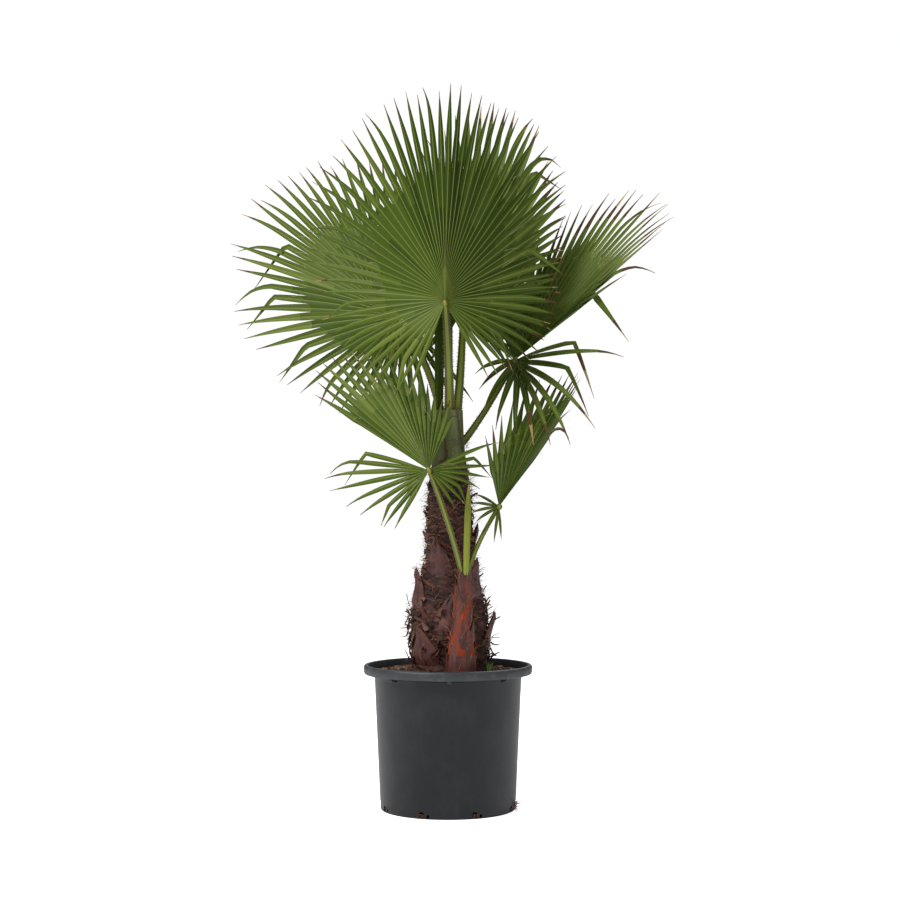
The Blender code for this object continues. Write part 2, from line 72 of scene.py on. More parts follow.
world = bpy.data.worlds.new("daylight")
world.use_nodes = True
sky = world.node_tree
sky.nodes["Background"].inputs["Color"].default_value = (1.0, 1.0, 1.0, 1.0)
sky.nodes["Background"].inputs["Strength"].default_value = 0.26
backdrop = sky.nodes.new("ShaderNodeBackground")
backdrop.inputs["Color"].default_value = (1.0, 1.0, 1.0, 1.0)
backdrop.inputs["Strength"].default_value = 1.02
seen = sky.nodes.new("ShaderNodeLightPath")
either = sky.nodes.new("ShaderNodeMixShader")
sky.links.new(seen.outputs["Is Camera Ray"], either.inputs[0])
sky.links.new(sky.nodes["Background"].outputs[0], either.inputs[1])
sky.links.new(backdrop.outputs[0], either.inputs[2])
sky.links.new(either.outputs[0], sky.nodes["World Output"].inputs["Surface"])
bpy.context.scene.world = world
bpy.context.scene.view_settings.view_transform = "Standard"
for lamp_name, place, size, power in (
    ("key_lamp", (-2.8, -2.4, 4.2), 1.6, 290.0),
    ("fill_lamp", (3.2, -2.4, 2.6), 2.6, 40.0),
    ("back_lamp", (0.6, 2.6, 4.2), 2.4, 120.0),
):
    lamp_data = bpy.data.lights.new(lamp_name, "AREA")
    lamp_data.size = size
    lamp_data.energy = power
    lamp = bpy.data.objects.new(lamp_name, lamp_data)
    lamp.location = place
    lamp.rotation_euler = (Vector((0.0, 0.0, 0.9)) - Vector(place)).to_track_quat("-Z", "Y").to_euler()
    bpy.context.scene.collection.objects.link(lamp)


# Nursery pot. Moulded charcoal plastic with a rolled rim, small gussets under the rim and
# drain slots round the foot. The rim is a lighter grey, a painted highlight on the rolled bead,
# and the pot stands on its foot.
def mottled_group():
    """Two tones laid over a surface in stretched patches, with a relief of the same pattern."""
    group = bpy.data.node_groups.new("mottled", "ShaderNodeTree")
    for label, kind in (
        ("Tone", "NodeSocketColor"),
        ("Patch", "NodeSocketColor"),
        ("Stretch", "NodeSocketVector"),
        ("Scale", "NodeSocketFloat"),
        ("Low", "NodeSocketFloat"),
        ("High", "NodeSocketFloat"),
        ("Relief", "NodeSocketFloat"),
    ):
        group.interface.new_socket(name=label, in_out="INPUT", socket_type=kind)
    group.interface.new_socket(name="Color", in_out="OUTPUT", socket_type="NodeSocketColor")
    group.interface.new_socket(name="Normal", in_out="OUTPUT", socket_type="NodeSocketVector")
    nodes, links = group.nodes, group.links
    given, taken = nodes.new("NodeGroupInput"), nodes.new("NodeGroupOutput")
    place = nodes.new("ShaderNodeTexCoord")
    stretch = nodes.new("ShaderNodeVectorMath")
    stretch.operation = "MULTIPLY"
    grain = nodes.new("ShaderNodeTexNoise")
    grain.inputs["Detail"].default_value = 5.0
    grain.inputs["Roughness"].default_value = 0.62
    share = nodes.new("ShaderNodeMapRange")
    blend = nodes.new("ShaderNodeMix")
    blend.data_type = "RGBA"
    relief = nodes.new("ShaderNodeBump")
    relief.inputs["Strength"].default_value = 0.8
    links.new(place.outputs["Object"], stretch.inputs[0])
    links.new(given.outputs["Stretch"], stretch.inputs[1])
    links.new(stretch.outputs[0], grain.inputs["Vector"])
    links.new(given.outputs["Scale"], grain.inputs["Scale"])
    links.new(grain.outputs["Fac"], share.inputs["Value"])
    links.new(given.outputs["Low"], share.inputs["From Min"])
    links.new(given.outputs["High"], share.inputs["From Max"])
    links.new(share.outputs["Result"], blend.inputs["Factor"])
    links.new(given.outputs["Tone"], blend.inputs[6])
    links.new(given.outputs["Patch"], blend.inputs[7])
    links.new(grain.outputs["Fac"], relief.inputs["Height"])
    links.new(given.outputs["Relief"], relief.inputs["Distance"])
    links.new(blend.outputs[2], taken.inputs["Color"])
    links.new(relief.outputs["Normal"], taken.inputs["Normal"])
    return group


mottled = mottled_group()


def mottled_finish(name, tone, patch, roughness, stretch, scale, low, high, relief):
    finish = bpy.data.materials.new(name)
    finish.use_nodes = True
    shader = finish.node_tree.nodes["Principled BSDF"]
    surface = finish.node_tree.nodes.new("ShaderNodeGroup")
    surface.node_tree = mottled
    given = ((*tone, 1.0), (*patch, 1.0), stretch, scale, low, high, relief)
    for socket, value in zip(surface.inputs, given):
        socket.default_value = value
    finish.node_tree.links.new(surface.outputs["Color"], shader.inputs["Base Color"])
    finish.node_tree.links.new(surface.outputs["Normal"], shader.inputs["Normal"])
    shader.inputs["Roughness"].default_value = roughness
    return finish


def plain_finish(name, colour, roughness, sheen=0.3):
    finish = bpy.data.materials.new(name)
    finish.use_nodes = True
    shader = finish.node_tree.nodes["Principled BSDF"]
    shader.inputs["Base Color"].default_value = (*colour, 1.0)
    shader.inputs["Roughness"].default_value = roughness
    shader.inputs["Specular IOR Level"].default_value = sheen
    return finish


def add_piece(name, bm, finishes, replaced=(), crease=40):
    mesh = bpy.data.meshes.new(name)
    bm.to_mesh(mesh)
    bm.free()
    for finish in finishes:
        mesh.materials.append(finish)
    for polygon in mesh.polygons:
        polygon.use_smooth = True
    mesh.set_sharp_from_angle(angle=radians(crease))
    piece = bpy.data.objects.new(name, mesh)
    bpy.context.scene.collection.objects.link(piece)
    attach(piece, "root")
    if replaced:
        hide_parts(*replaced)
    return piece


POT_HEIGHT = 0.3425
POT_RIM_RADIUS = 0.200
POT_NECK_RADIUS = 0.174
POT_FOOT_RADIUS = 0.160
POT_WALL = 0.003
RIM_FOOT = POT_HEIGHT - 0.022
POT_NECK = POT_HEIGHT - 0.030
pot_plastic = mottled_finish(
    "pot_plastic", (0.0085, 0.0095, 0.0120), (0.0155, 0.0170, 0.0200), 0.46,
    (1.0, 1.0, 0.6), 22.0, 0.45, 0.75, 0.0006
)
pot_plastic.node_tree.nodes["Principled BSDF"].inputs["Specular IOR Level"].default_value = 0.25
# The rim's lighter grey is a painted highlight on the rolled bead; the gussets take the same grey.
rim_plastic_painted_highlight = mottled_finish(
    "rim_plastic_painted_highlight", (0.018, 0.020, 0.024), (0.055, 0.058, 0.064), 0.55,
    (1.0, 1.0, 1.0), 30.0, 0.50, 0.80, 0.0006
)
pot_profile = (
    (0.0, POT_WALL),
    (POT_FOOT_RADIUS - POT_WALL, POT_WALL),
    (POT_NECK_RADIUS - POT_WALL, POT_NECK),
    (POT_RIM_RADIUS - 0.0120, RIM_FOOT + 0.004),
    (POT_RIM_RADIUS - 0.0110, POT_HEIGHT - 0.0030),
    (POT_RIM_RADIUS - 0.0095, POT_HEIGHT - 0.0008),
    (POT_RIM_RADIUS - 0.0070, POT_HEIGHT),
    (POT_RIM_RADIUS - 0.0030, POT_HEIGHT - 0.0008),
    (POT_RIM_RADIUS - 0.0008, POT_HEIGHT - 0.0030),
    (POT_RIM_RADIUS, POT_HEIGHT - 0.0070),
    (POT_RIM_RADIUS - 0.0005, RIM_FOOT + 0.005),
    (POT_RIM_RADIUS - 0.0020, RIM_FOOT + 0.001),
    (POT_RIM_RADIUS - 0.0050, RIM_FOOT),
    (POT_NECK_RADIUS + 0.0080, RIM_FOOT - 0.001),
    (POT_NECK_RADIUS + 0.0030, RIM_FOOT - 0.004),
    (POT_NECK_RADIUS, POT_NECK - 0.003),
    (POT_FOOT_RADIUS + 0.0012, 0.024),
    (POT_FOOT_RADIUS + 0.0004, 0.021),
    (POT_FOOT_RADIUS, 0.004),
    (POT_FOOT_RADIUS - 0.0012, 0.001),
    (POT_FOOT_RADIUS - 0.003, 0.0),
    (0.0, 0.0),
)
POT_SIDES = 120
DRAIN_SLOTS = 8
GUSSETS = 8
bm = bmesh.new()
rings = []
for radius, height in pot_profile:
    if radius == 0.0:
        rings.append([bm.verts.new((0.0, 0.0, height))] * POT_SIDES)
        continue
    turns = [2 * pi * side / POT_SIDES for side in range(POT_SIDES)]
    rings.append([bm.verts.new((radius * cos(t), radius * sin(t), height)) for t in turns])
for inner, outer in zip(rings, rings[1:]):
    for side in range(POT_SIDES):
        after = (side + 1) % POT_SIDES
        corners = []
        for corner in (inner[side], inner[after], outer[after], outer[side]):
            if corner not in corners:
                corners.append(corner)
        face = bm.faces.new(corners)
        # Faces at the rim take the lighter grey, which is a painted highlight.
        face.material_index = 1 if min(corner.co.z for corner in corners) > RIM_FOOT - 0.002 else 0
bmesh.ops.recalc_face_normals(bm, faces=bm.faces)
pot = add_piece("pot_shell", bm, [pot_plastic, rim_plastic_painted_highlight], ["pot"], 35)

bm = bmesh.new()
for index in range(DRAIN_SLOTS):
    turn = Matrix.Rotation(2 * pi * (index + 0.5) / DRAIN_SLOTS, 4, "Z")
    for offset, height, width, tall in ((0.0, 0.0095, 0.011, 0.013), (0.016, 0.0065, 0.006, 0.008)):
        shift = Matrix.Translation((POT_FOOT_RADIUS, offset, height))
        bmesh.ops.create_cube(bm, size=1.0, matrix=turn @ shift @ Matrix.Diagonal((0.020, width, tall, 1)))
slots_mesh = bpy.data.meshes.new("drain_slots")
bm.to_mesh(slots_mesh)
bm.free()
slots = bpy.data.objects.new("drain_slots", slots_mesh)
bpy.context.scene.collection.objects.link(slots)
cut = pot.modifiers.new("drain_slots", "BOOLEAN")
cut.operation = "DIFFERENCE"
cut.object = slots
bpy.context.view_layer.objects.active = pot
pot.select_set(True)
bpy.ops.object.modifier_apply(modifier="drain_slots")
bpy.data.objects.remove(slots, do_unlink=True)

bm = bmesh.new()
for index in range(GUSSETS):
    turn = Matrix.Rotation(2 * pi * (index + 0.02) / GUSSETS, 4, "Z")
    shift = Matrix.Translation((POT_NECK_RADIUS + 0.0085, 0.0, RIM_FOOT - 0.0045))
    size = Matrix.Diagonal((0.018, 0.010, 0.010, 1))
    gusset = bmesh.ops.create_cube(bm, size=1.0, matrix=turn @ shift @ size)
    for corner in gusset["verts"]:
        if corner.co.z < RIM_FOOT - 0.005 and corner.co.xy.length > POT_NECK_RADIUS + 0.010:
            corner.co.z += 0.005
add_piece("pot_gussets", bm, [rim_plastic_painted_highlight])


# Substrate. Damp dark compost with bark chips in it, filled to just under the rim. A weed seedling
# has come up at the front, and a few fine roots have grown out of the drain slots.
def outward(angle):
    return Vector((cos(angle), sin(angle), 0.0))


def sideways(out):
    return Vector((-out.y, out.x, 0.0))


def astray():
    return Vector((chance.uniform(-1, 1), chance.uniform(-1, 1), chance.uniform(-1, 1)))


def add_strand(bm, points, radius, index, sides=3, thinning=0.8):
    """Thin tube along points that narrows towards its end."""
    loops = []
    last = len(points) - 1
    for place, point in enumerate(points):
        axis = (points[min(place + 1, last)] - points[max(place - 1, 0)]).normalized()
        across = axis.cross(Vector((0.36, 0.21, 0.91))).normalized()
        out = axis.cross(across)
        size = radius * (1 - thinning * place / last)
        turns = [2 * pi * side / sides for side in range(sides)]
        loops.append([bm.verts.new(point + (across * cos(t) + out * sin(t)) * size) for t in turns])
    for lower, upper in zip(loops, loops[1:]):
        for side in range(sides):
            after = (side + 1) % sides
            bm.faces.new((lower[side], lower[after], upper[after], upper[side])).material_index = index
    bm.faces.new(list(reversed(loops[0]))).material_index = index
    bm.faces.new(loops[-1]).material_index = index


def add_curl(bm, start, heading, length, radius, index, wander=0.6, fall=0.3, spans=5, lowest=None):
    """Strand that wanders off its heading and droops."""
    point, points = Vector(start), [Vector(start)]
    heading = Vector(heading).normalized()
    for _ in range(spans):
        stray = astray()
        heading = (heading + stray * wander / spans * 2 + Vector((0, 0, -fall / spans))).normalized()
        point = point + heading * length / spans
        if lowest is not None:
            point.z = max(point.z, lowest)
        points.append(point)
    add_strand(bm, points, radius, index)


SOIL_TOP = 0.330
SOIL_RADIUS = 0.1835
SOIL_SHOULDER = 0.135
SOIL_RINGS, SOIL_SIDES = 26, 96
BARK_CHIPS = 420


def soil_drop(radius):
    """How far the substrate has sunk towards the pot's wall."""
    return 0.008 * max(0.0, radius - SOIL_SHOULDER) / (SOIL_RADIUS - SOIL_SHOULDER)


compost = mottled_finish(
    "compost", (0.018, 0.011, 0.007), (0.075, 0.045, 0.028), 0.95,
    (1.0, 1.0, 1.0), 90.0, 0.48, 0.72, 0.004
)
chip_brown = plain_finish("chip_brown", (0.075, 0.036, 0.020), 0.9)
chip_tan = plain_finish("chip_tan", (0.20, 0.115, 0.060), 0.9)
root_red = plain_finish("root_red", (0.16, 0.060, 0.030), 0.8)
seedling_green = plain_finish("seedling_green", (0.050, 0.120, 0.014), 0.5)
bm = bmesh.new()
loops = []
for ring in range(1, SOIL_RINGS + 1):
    loop = []
    for side in range(SOIL_SIDES):
        angle = 2 * pi * side / SOIL_SIDES
        radius = SOIL_RADIUS * ring / SOIL_RINGS
        spot = Vector((radius * cos(angle), radius * sin(angle), 0.0))
        lumps = 0.004 * noise.noise(spot * 55) + 0.0025 * noise.noise(spot * 160)
        loop.append(bm.verts.new(spot + Vector((0.0, 0.0, SOIL_TOP + lumps - soil_drop(radius)))))
    loops.append(loop)
middle = bm.verts.new((0.0, 0.0, SOIL_TOP))
for side in range(SOIL_SIDES):
    after = (side + 1) % SOIL_SIDES
    bm.faces.new((middle, loops[0][side], loops[0][after]))
    for inner, outer in zip(loops, loops[1:]):
        bm.faces.new((inner[side], outer[side], outer[after], inner[after]))
for _ in range(BARK_CHIPS):
    angle, radius = chance.uniform(0, 2 * pi), chance.uniform(0.075, 0.176)
    spot = Vector((radius * cos(angle), radius * sin(angle), SOIL_TOP + 0.001 - soil_drop(radius)))
    tilt = Matrix.Rotation(chance.uniform(0, 6.3), 4, "Z")
    tilt = tilt @ Matrix.Rotation(chance.uniform(-0.5, 0.5), 4, "X")
    size = Matrix.Diagonal((chance.uniform(0.004, 0.013), chance.uniform(0.003, 0.007), 0.003, 1))
    chip = bmesh.ops.create_cube(bm, size=1.0, matrix=Matrix.Translation(spot) @ tilt @ size)
    for corner in chip["verts"]:
        corner.co += astray() * 0.0008
    for face in dict.fromkeys(face for corner in chip["verts"] for face in corner.link_faces):
        face.material_index = chance.choice((1, 1, 1, 2))
for angle in (-2.0, -0.9, 0.1, 1.3):
    sprig = Vector((0.092, -0.132, SOIL_TOP))
    add_curl(bm, sprig, (cos(angle) * 0.5, sin(angle) * 0.3, 1.0), 0.030, 0.0022, 4, 0.3, 0.1)
for side_slot in range(DRAIN_SLOTS):
    angle = 2 * pi * (side_slot + 0.5) / DRAIN_SLOTS
    out = outward(angle)
    for _ in range(9 if side_slot in (5, 6) else 4):
        start = out * (POT_FOOT_RADIUS - 0.004) + Vector((0.0, 0.0, chance.uniform(0.005, 0.012)))
        heading = out * 0.5 + sideways(out) * chance.uniform(-1, 1)
        add_curl(bm, start, heading, chance.uniform(0.010, 0.020), 0.0007, 3, 0.8, 0.6, 5, 0.001)
for _ in range(46):
    start = Vector((0.1545, -0.030, chance.uniform(0.004, 0.020)))
    start += Vector((0, chance.uniform(-0.016, 0.016), 0))
    heading = Vector((1.0, chance.uniform(-0.8, 0.8), chance.uniform(-0.2, 0.5)))
    add_curl(bm, start, heading, chance.uniform(0.010, 0.024), 0.0006, 3, 1.0, 0.4, 5, 0.001)
finishes = [compost, chip_brown, chip_tan, root_red, seedling_green]
add_piece("substrate_bed", bm, finishes, ["soil"])


# Trunk. A swollen foot narrowing to a neck, wrapped in the torn fibre of its old leaf bases. Dark
# maroon boots stand out of it in a rising spiral, with curled brown threads at all their edges.
TRUNK_FOOT = SOIL_TOP + 0.0003
TRUNK_TOP = 0.803
TRUNK_RADII = (0.088, 0.089, 0.089, 0.083, 0.067, 0.056, 0.053, 0.050, 0.049, 0.046)
TRUNK_AXIS_X = 0.003


def between(stations, across):
    """Smooth value of evenly spaced stations at a place from -1 to 1."""
    spans = len(stations) - 1
    place = (across + 1) / 2 * spans
    index = min(max(int(place), 0), spans - 1)
    part = place - index
    here, after = stations[index], stations[index + 1]
    before = stations[index - 1] if index > 0 else 2 * here - after
    beyond = stations[index + 2] if index + 2 <= spans else 2 * after - here
    linear = after - before
    square = 2 * before - 5 * here + 4 * after - beyond
    cube = 3 * here - before - 3 * after + beyond
    return 0.5 * (2 * here + linear * part + square * part**2 + cube * part**3)


def trunk_radius(height):
    return between(TRUNK_RADII, 2 * (height - TRUNK_FOOT) / (TRUNK_TOP - TRUNK_FOOT) - 1)


def trunk_spot(angle, height, stand_off=0.0):
    radius = trunk_radius(height) + stand_off
    return Vector((TRUNK_AXIS_X + radius * cos(angle), radius * sin(angle), height))


trunk_bark = mottled_finish(
    "trunk_bark", (0.020, 0.006, 0.005), (0.110, 0.030, 0.018), 0.85,
    (0.7, 0.7, 3.2), 34.0, 0.42, 0.70, 0.006
)
boot_maroon = mottled_finish(
    "boot_maroon", (0.036, 0.010, 0.009), (0.135, 0.038, 0.030), 0.55,
    (1.0, 1.0, 0.35), 60.0, 0.40, 0.72, 0.002
)
boot_edge = plain_finish("boot_edge", (0.085, 0.038, 0.024), 0.8)
fibre_dark = plain_finish("fibre_dark", (0.022, 0.010, 0.007), 0.85)
fibre_brown = plain_finish("fibre_brown", (0.090, 0.032, 0.018), 0.85)
fibre_tan = plain_finish("fibre_tan", (0.27, 0.15, 0.080), 0.85)

bm = bmesh.new()
TRUNK_RINGS, TRUNK_SIDES = 120, 110
loops = []
for ring in range(TRUNK_RINGS + 1):
    height = TRUNK_FOOT + (TRUNK_TOP - TRUNK_FOOT) * ring / TRUNK_RINGS
    loop = []
    for side in range(TRUNK_SIDES):
        angle = 2 * pi * side / TRUNK_SIDES
        spot = trunk_spot(angle, height)
        wraps = noise.noise(Vector((spot.x * 14, spot.y * 14, height * 90)))
        torn = noise.noise(Vector((spot.x * 60, spot.y * 60, height * 45)))
        loop.append(bm.verts.new(trunk_spot(angle, height, 0.0030 * wraps + 0.0016 * torn)))
    loops.append(loop)
for lower, upper in zip(loops, loops[1:]):
    for side in range(TRUNK_SIDES):
        after = (side + 1) % TRUNK_SIDES
        bm.faces.new((lower[side], lower[after], upper[after], upper[side]))
bm.faces.new(list(reversed(loops[0])))
bm.faces.new(loops[-1])
add_piece("trunk_bark", bm, [trunk_bark], ["trunk"], 60)

BOOTS = 10
BOOT_STEP, BOOT_START, BOOT_RISE, BOOT_LENGTH = radians(137.5), radians(-136), 0.026, 0.108
BOOT_COLUMNS, BOOT_ROWS = 14, 16
BOOT_FLARE = 0.019


def boot_half_angle(part):
    """Half of the boot's width round the trunk, at a part of its length."""
    return radians(33) * (1 - part**2.2) + radians(2)


for index in range(BOOTS):
    azimuth = BOOT_START + BOOT_STEP * index
    foot = TRUNK_FOOT + 0.004 + BOOT_RISE * index
    bm = bmesh.new()
    outer, inner = [], []
    for row in range(BOOT_ROWS + 1):
        part = row / BOOT_ROWS
        half_angle = boot_half_angle(part)
        for column in range(BOOT_COLUMNS + 1):
            side = 2 * column / BOOT_COLUMNS - 1
            angle = azimuth + half_angle * side
            grain = noise.noise(Vector((side * 5, part * 3, index * 7.3)))
            notch = 0.034 * abs(noise.noise(Vector((side * 6 + index, 0.4, 2.0)))) * part
            height = foot + BOOT_LENGTH * part - notch
            base = BOOT_FLARE * part**2.5 - 0.006 * (1 - part) ** 2
            split = noise.noise(Vector((side * 11 + index * 3, part * 1.6, 5.0)))
            crown = 0.012 * (1 - 0.75 * part) * (1 - 0.7 * side**2) + 0.0022 * grain + 0.0030 * split
            crown *= min(1.0, 0.12 + 3.2 * part)
            inner.append(bm.verts.new(trunk_spot(angle, height, base)))
            outer.append(bm.verts.new(trunk_spot(angle, height, base + max(crown, 0.0012))))
    width = BOOT_COLUMNS + 1
    for row in range(BOOT_ROWS):
        for column in range(BOOT_COLUMNS):
            a = row * width + column
            rim = row == BOOT_ROWS - 1 or (column in (0, BOOT_COLUMNS - 1) and row > 5)
            for sheet in (outer, inner):
                face = bm.faces.new((sheet[a], sheet[a + 1], sheet[a + 1 + width], sheet[a + width]))
                face.material_index = 1 if rim else 0
    border = list(range(width)) + [row * width + BOOT_COLUMNS for row in range(1, BOOT_ROWS + 1)]
    border += [BOOT_ROWS * width + column for column in range(BOOT_COLUMNS - 1, -1, -1)]
    border += [row * width for row in range(BOOT_ROWS - 1, 0, -1)]
    for first, second in zip(border, border[1:] + border[:1]):
        bm.faces.new((inner[first], inner[second], outer[second], outer[first])).material_index = 1
    bmesh.ops.recalc_face_normals(bm, faces=bm.faces)
    name = "boot_{}".format(index + 1)
    add_piece(name + "_scale", bm, [boot_maroon, boot_edge], [name], 50)

# Fibre mats: torn strips of leaf sheath that lie round the trunk, and the threads frayed from them.
FIBRE_STRIPS, FIBRE_THREADS, SCRAPS, BOOT_THREADS = 150, 2300, 380, 46
bm = bmesh.new()
for _ in range(FIBRE_STRIPS):
    height = chance.uniform(TRUNK_FOOT + 0.03, TRUNK_TOP - 0.03)
    start = chance.uniform(0, 2 * pi)
    sweep, slant = chance.uniform(0.4, 1.2), chance.uniform(-0.030, 0.030)
    tall, lift = chance.uniform(0.005, 0.014), chance.uniform(0.0025, 0.0060)
    shade = chance.choice((0, 0, 0, 1, 1))
    before = None
    for span in range(9):
        part = span / 8
        angle, level = start + sweep * part, min(height + slant * part, TRUNK_TOP - 0.020)
        stand = lift + 0.002 * sin(part * 9 + start)
        narrow = tall * (0.35 + 0.65 * sin(pi * min(max(part, 0.06), 0.94)))
        pair = [bm.verts.new(trunk_spot(angle, edge, stand)) for edge in (level, level + narrow)]
        if before:
            bm.faces.new((before[0], pair[0], pair[1], before[1])).material_index = shade
        before = pair
for _ in range(FIBRE_THREADS):
    height = TRUNK_FOOT + 0.012 + (TRUNK_TOP - TRUNK_FOOT - 0.03) * chance.random() ** 0.85
    angle = chance.uniform(0, 2 * pi)
    out = outward(angle)
    around = sideways(out) * chance.choice((-1, 1))
    heading = around + out * chance.uniform(0.15, 0.8) + Vector((0, 0, chance.uniform(-0.4, 0.7)))
    shade = chance.choice((0, 0, 0, 1, 1, 1, 2, 2))
    start = trunk_spot(angle, height, 0.002)
    long, thick = chance.uniform(0.012, 0.038), chance.uniform(0.0003, 0.0007)
    add_curl(bm, start, heading, long, thick, shade, 0.9, 0.3)


def add_scrap(bm, start, heading, around, length, width, index):
    """Torn flap of dry sheath that curls away from the trunk."""
    point, before = Vector(start), None
    curl = Vector((chance.uniform(-1, 1), chance.uniform(-1, 1), chance.uniform(-0.6, 0.6)))
    for span in range(6):
        half = around * width * (0.5 - 0.42 * (span / 5) ** 1.5) * chance.uniform(0.75, 1.15)
        bow = heading.cross(around).normalized() * width * 0.25
        trio = [bm.verts.new(point - half), bm.verts.new(point + bow), bm.verts.new(point + half)]
        if before:
            for side in (0, 1):
                face = bm.faces.new((before[side], trio[side], trio[side + 1], before[side + 1]))
                face.material_index = index
        before = trio
        heading = (heading + curl * 0.30).normalized()
        point = point + heading * length / 5


for _ in range(SCRAPS):
    low = chance.random() < 0.55
    height = chance.uniform(TRUNK_FOOT + 0.004, 0.49 if low else TRUNK_TOP - 0.05)
    angle = chance.uniform(0, 2 * pi)
    out = outward(angle)
    around = Vector((-out.y, out.x, chance.uniform(-0.5, 0.5))).normalized()
    rise = chance.uniform(0.4, 1.2) if chance.random() < 0.75 else chance.uniform(-0.9, -0.2)
    heading = out * chance.uniform(0.02, 0.34) + Vector((0, 0, rise))
    heading = (heading + around * chance.uniform(-0.6, 0.6)).normalized()
    long = chance.uniform(0.012, 0.034) if low else chance.uniform(0.010, 0.026)
    shade = chance.choice((0, 0, 1, 1, 3, 3, 4))
    stand = chance.uniform(0.001, 0.012 if low else 0.005)
    wide = chance.uniform(0.005, 0.016)
    add_scrap(bm, trunk_spot(angle, height, stand), heading, around, long, wide, shade)
for index in range(BOOTS):
    azimuth = BOOT_START + BOOT_STEP * index
    foot = TRUNK_FOOT + 0.004 + BOOT_RISE * index
    for _ in range(BOOT_THREADS):
        part = chance.uniform(0.35, 1.0)
        side = chance.choice((-1, 1))
        angle = azimuth + boot_half_angle(part) * side
        start = trunk_spot(angle, foot + BOOT_LENGTH * part, BOOT_FLARE * part**2.5 + 0.001)
        out = outward(angle)
        heading = out * 0.5 + sideways(out) * side + Vector((0, 0, chance.uniform(-0.3, 0.9)))
        shade = chance.choice((0, 0, 1, 1, 2))
        long, thick = chance.uniform(0.010, 0.032), chance.uniform(0.0004, 0.0009)
        add_curl(bm, start, heading, long, thick, shade, 0.9, 0.4)
scrap_maroon = plain_finish("scrap_maroon", (0.085, 0.024, 0.018), 0.65)
scrap_pale = plain_finish("scrap_pale", (0.140, 0.070, 0.046), 0.75)
add_piece("trunk_fibres", bm, [fibre_dark, fibre_brown, fibre_tan, scrap_maroon, scrap_pale])


# Side shoot. A young palm that has come up against the trunk's front. Its stem is wrapped in thin
# rust-coloured sheaths that have split and peel away at their tops.
def make_loft(bm, rings, sides, index_of, closed=True):
    """Skin through elliptical rings; each ring is (centre, axis, width, depth, relief)."""
    loops = []
    for row, (centre, axis, width, depth, relief) in enumerate(rings):
        across = (Vector((1, 0, 0)) - axis * axis.x).normalized()
        facing = axis.cross(across)
        loop = []
        for side in range(sides):
            turn = 2 * pi * side / sides
            swell = 1 + relief(turn, row)
            spoke = across * cos(turn) * width + facing * sin(turn) * depth
            loop.append(bm.verts.new(centre + spoke * swell))
        loops.append(loop)
    for row, (lower, upper) in enumerate(zip(loops, loops[1:])):
        for side in range(sides):
            after = (side + 1) % sides
            face = bm.faces.new((lower[side], lower[after], upper[after], upper[side]))
            face.material_index = index_of(2 * pi * (side + 0.5) / sides, row)
    if closed:
        bm.faces.new(list(reversed(loops[0]))).material_index = index_of(0.0, 0)
        bm.faces.new(loops[-1]).material_index = index_of(0.0, len(rings) - 1)
    return loops


SHOOT_FOOT = Vector((0.028, -0.121, SOIL_TOP + 0.0003))
SHOOT_TOP = Vector((0.037, -0.121, 0.566))
SHOOT_LENGTH = 0.236
SHOOT_DEPTH_SHARE = 0.85
SHOOT_SPANS = 48
SHEATH_WRAPS, SHOOT_THREADS = 9, 260
SHOOT_RADII = (0.037, 0.033, 0.027, 0.023, 0.019, 0.014)
rust = mottled_finish(
    "shoot_rust", (0.026, 0.007, 0.006), (0.125, 0.022, 0.011), 0.50,
    (1.0, 1.0, 0.22), 75.0, 0.38, 0.66, 0.002
)
orange = plain_finish("shoot_orange", (0.200, 0.032, 0.010), 0.6, 0.1)
bm = bmesh.new()
axis = (SHOOT_TOP - SHOOT_FOOT).normalized()
rings = []
for row in range(SHOOT_SPANS + 1):
    part = row / SHOOT_SPANS
    radius = between(SHOOT_RADII, 2 * part - 1)
    upright = Vector((0, 0, 1)) if row == 0 else axis

    def relief(turn, row, part=part):
        spot = Vector((cos(turn) * 2, sin(turn) * 2, part * 5))
        return 0.055 * noise.noise(spot) + 0.035 * noise.noise(spot * 5)

    rings.append((SHOOT_FOOT.lerp(SHOOT_TOP, part), upright, radius, radius * SHOOT_DEPTH_SHARE, relief))


def shoot_shade(turn, row):
    patch = noise.noise(Vector((cos(turn) * 3, sin(turn) * 3, row * 0.16)))
    return 1 if patch > 0.20 and 8 < row < 36 and sin(turn) < -0.1 else 0


make_loft(bm, rings, 40, shoot_shade)
for wrap in range(SHEATH_WRAPS):
    part = 0.12 + 0.1 * wrap
    centre = SHOOT_FOOT.lerp(SHOOT_TOP, part)
    radius = between(SHOOT_RADII, 2 * part - 1)
    turn_start = chance.uniform(0, 2 * pi)
    before = None
    for span in range(13):
        turn = turn_start + 2.6 * span / 12
        out = Vector((cos(turn), sin(turn) * SHOOT_DEPTH_SHARE, 0.0))
        peak = 0.022 + 0.030 * sin(pi * span / 12) ** 2 + 0.004 * sin(span * 2.1)
        low = bm.verts.new(centre + out * (radius + 0.0012))
        top_part = min(part + peak / SHOOT_LENGTH, 1.0)
        top_radius = between(SHOOT_RADII, 2 * top_part - 1)
        top = bm.verts.new(SHOOT_FOOT.lerp(SHOOT_TOP, top_part) + out * (top_radius + 0.0030))
        if before:
            shade = 1 if wrap in (3, 4, 5) and span in (2, 3, 7) else 0
            bm.faces.new((before[0], low, top, before[1])).material_index = shade
        before = (low, top)
for _ in range(SHOOT_THREADS):
    part = chance.uniform(0.05, 1.0)
    turn = chance.uniform(0, 2 * pi)
    radius = between(SHOOT_RADII, 2 * part - 1)
    out = Vector((cos(turn), sin(turn) * SHOOT_DEPTH_SHARE, 0.0))
    start = SHOOT_FOOT.lerp(SHOOT_TOP, part) + out * radius
    heading = out * chance.uniform(0.05, 0.5) + sideways(out) * chance.uniform(-0.6, 0.6)
    heading += Vector((0, 0, 1.0))
    add_curl(bm, start, heading, chance.uniform(0.010, 0.030), 0.0005, chance.choice((1, 2, 3)), 0.5, 0.1)
